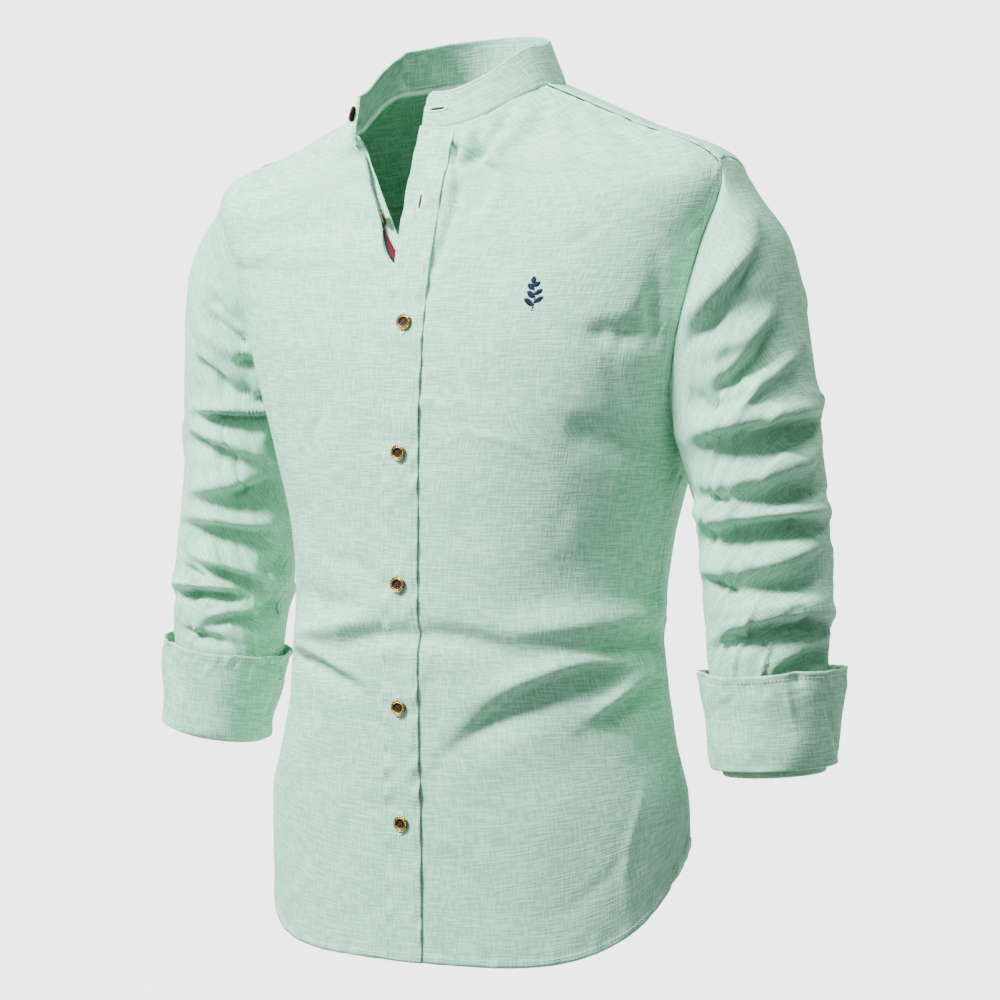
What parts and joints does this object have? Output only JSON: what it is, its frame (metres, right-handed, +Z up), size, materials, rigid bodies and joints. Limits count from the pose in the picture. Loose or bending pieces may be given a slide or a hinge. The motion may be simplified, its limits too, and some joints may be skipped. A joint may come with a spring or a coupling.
{
  "type": "band-collar button-up shirt, worn form",
  "caption": "Slim band-collar button-up shirt in its worn, hollow form: open neck, sleeves rolled to bunched folds with turned-back cuffs, curved hem.",
  "frame": {"origin": "where the shirt rests across the wearer's shoulders, on the body's middle plane, level with the shoulder points", "axes": "+Z up, -Y out of the chest, +X to the wearer's left"},
  "size_m": [0.6208, 0.2562, 0.7281],
  "materials": {
    "shirting": "matt slub plain weave of cotton and linen",
    "ribbon_tape": "satin-edged striped tape",
    "button_brass": "antiqued, worn bright on the rims"
  },
  "bodies": {
    "root": {"front_left": "shirting", "front_right": "shirting", "back": "shirting", "yoke": "shirting", "sleeve_left": "shirting", "sleeve_right": "shirting", "cuff_left": "shirting", "cuff_right": "shirting", "neck_band": "shirting", "placket_left": "shirting", "placket_right": "shirting", "ribbon": "ribbon_tape", "button_1": "button_brass", "button_2": "button_brass", "button_3": "button_brass", "button_4": "button_brass", "button_5": "button_brass", "button_6": "button_brass", "button_7": "button_brass"}
  },
  "joints": []
}
